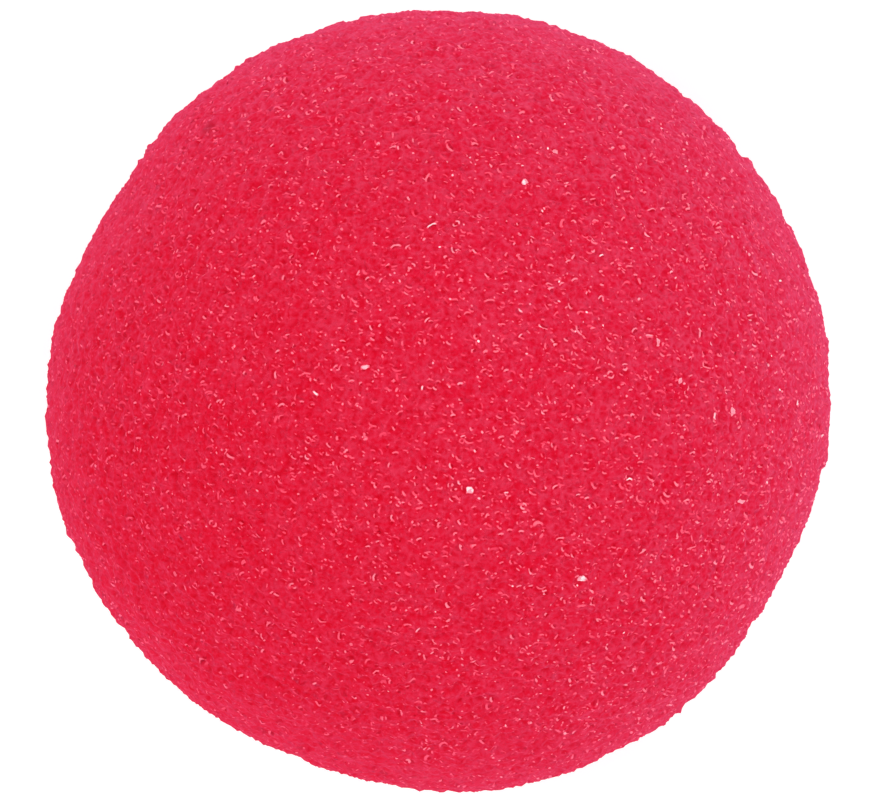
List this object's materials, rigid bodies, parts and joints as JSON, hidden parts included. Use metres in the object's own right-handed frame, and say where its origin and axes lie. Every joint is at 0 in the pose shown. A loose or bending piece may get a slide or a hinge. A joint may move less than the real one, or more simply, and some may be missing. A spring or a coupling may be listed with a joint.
{
  "type": "foam clown nose",
  "caption": "Soft red ball of open-cell foam with a flat, ringed back and a deep oval pocket that grips the wearer's nose.",
  "frame": {"origin": "middle of the flat back, which it rests on", "axes": "+Z out of the face, along the pocket's axis; +Y towards the forehead as worn, along the pocket's longer width; +X to the right as seen from the front"},
  "size_m": [0.0502, 0.05, 0.0465],
  "materials": {
    "foam": "matte"
  },
  "bodies": {
    "root": {"nose_foam": "foam"}
  },
  "joints": []
}
